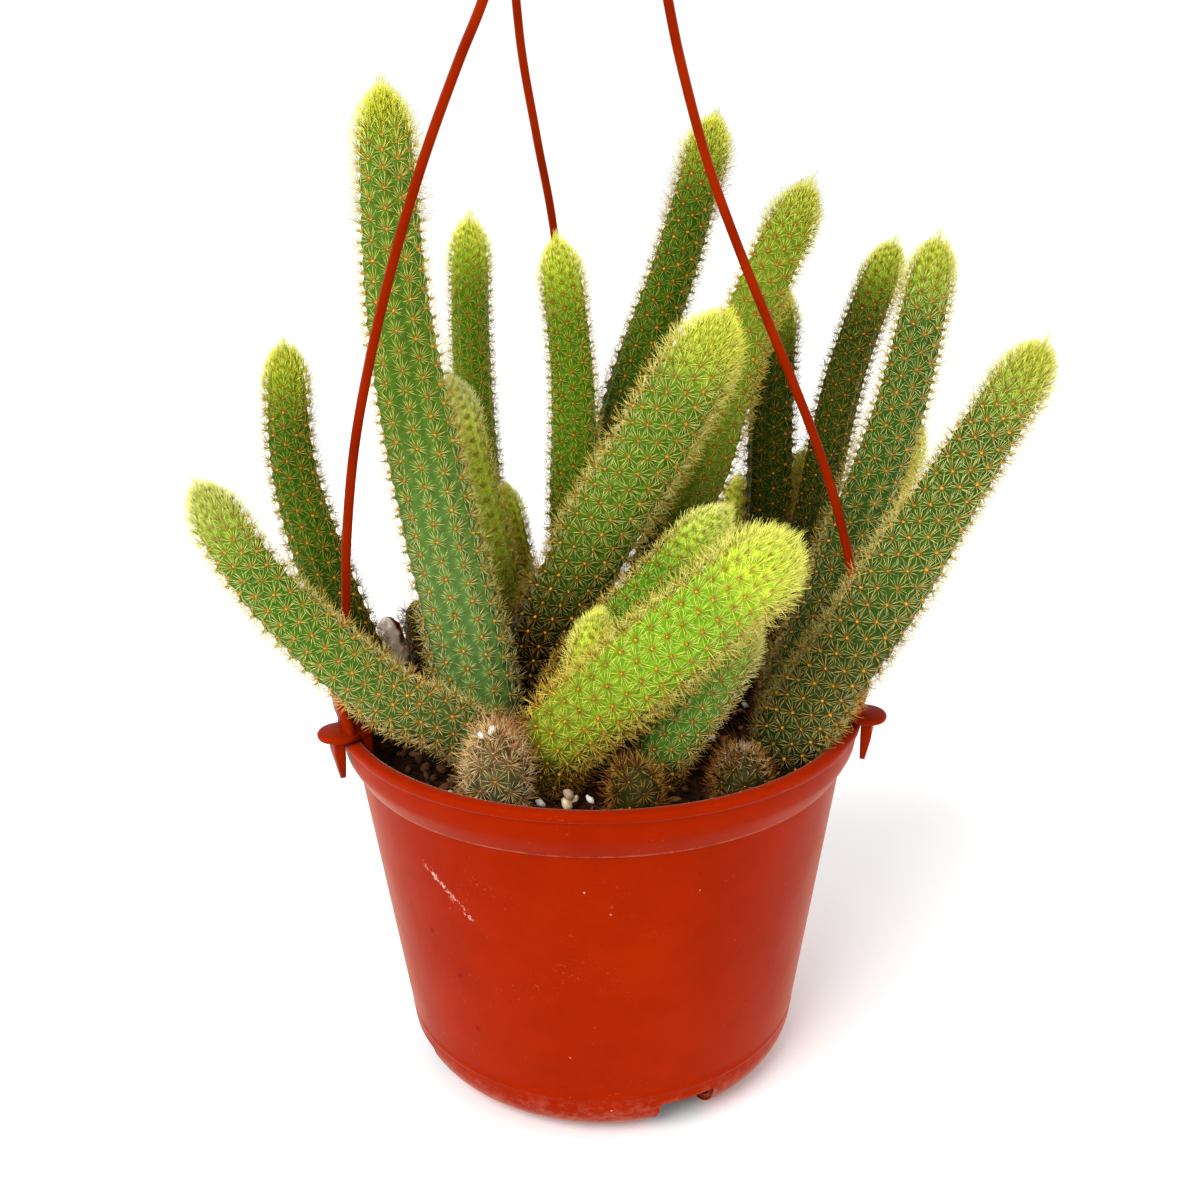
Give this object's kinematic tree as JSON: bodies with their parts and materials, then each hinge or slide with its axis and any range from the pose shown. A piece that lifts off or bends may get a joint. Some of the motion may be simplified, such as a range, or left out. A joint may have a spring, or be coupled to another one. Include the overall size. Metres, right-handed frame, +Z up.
{
  "type": "potted golden rat tail cactus",
  "caption": "Clump of upright and leaning ribbed, spiny cactus stems growing in a round hanging pot with a clip-on strand hanger and hook.",
  "frame": {"origin": "centre of the pot's flat underside", "axes": "+Z up through the pot towards the hook; -Y towards the front, where the bright low stems lean out; +X to the right seen from the front"},
  "size_m": [0.2133, 0.1589, 0.4372],
  "materials": {
    "pot": "slightly glossy red-orange, chalky scuffs",
    "hanger": "satin red-orange",
    "soil": "dry crumbly potting mix",
    "stem": "waxy green skin under dense yellow-brown spines",
    "young_stem": "bright lime skin under golden spines",
    "dry_stem": "dry corky tan skin"
  },
  "bodies": {
    "root": {"pot": "pot", "soil": "soil", "hanger_hook": "hanger", "hanger_strand_left": "hanger", "hanger_strand_right": "hanger", "hanger_strand_back": "hanger", "stem_left_low": "stem", "stem_left_upright": "stem", "stem_tallest": "stem", "stem_back_left": "stem", "stem_behind_tallest": "stem", "shoot_centre": "young_stem", "stem_back_centre": "stem", "stem_thick_leaning": "stem", "stem_back_high": "stem", "stem_back_right": "stem", "stem_back_upright": "stem", "stem_right_inner": "stem", "stem_right": "stem", "stem_right_hidden": "stem", "stem_far_right": "stem", "stem_front_upper": "stem", "stem_front_bright": "young_stem", "shoot_front": "young_stem", "stem_front_under": "stem", "stump_front_left": "dry_stem", "stump_front_centre": "stem", "stump_front_right": "dry_stem", "stub_left_dry": "dry_stem", "stem_left_small": "stem", "shoot_back_right": "young_stem", "shoot_back_far": "young_stem"}
  },
  "joints": []
}
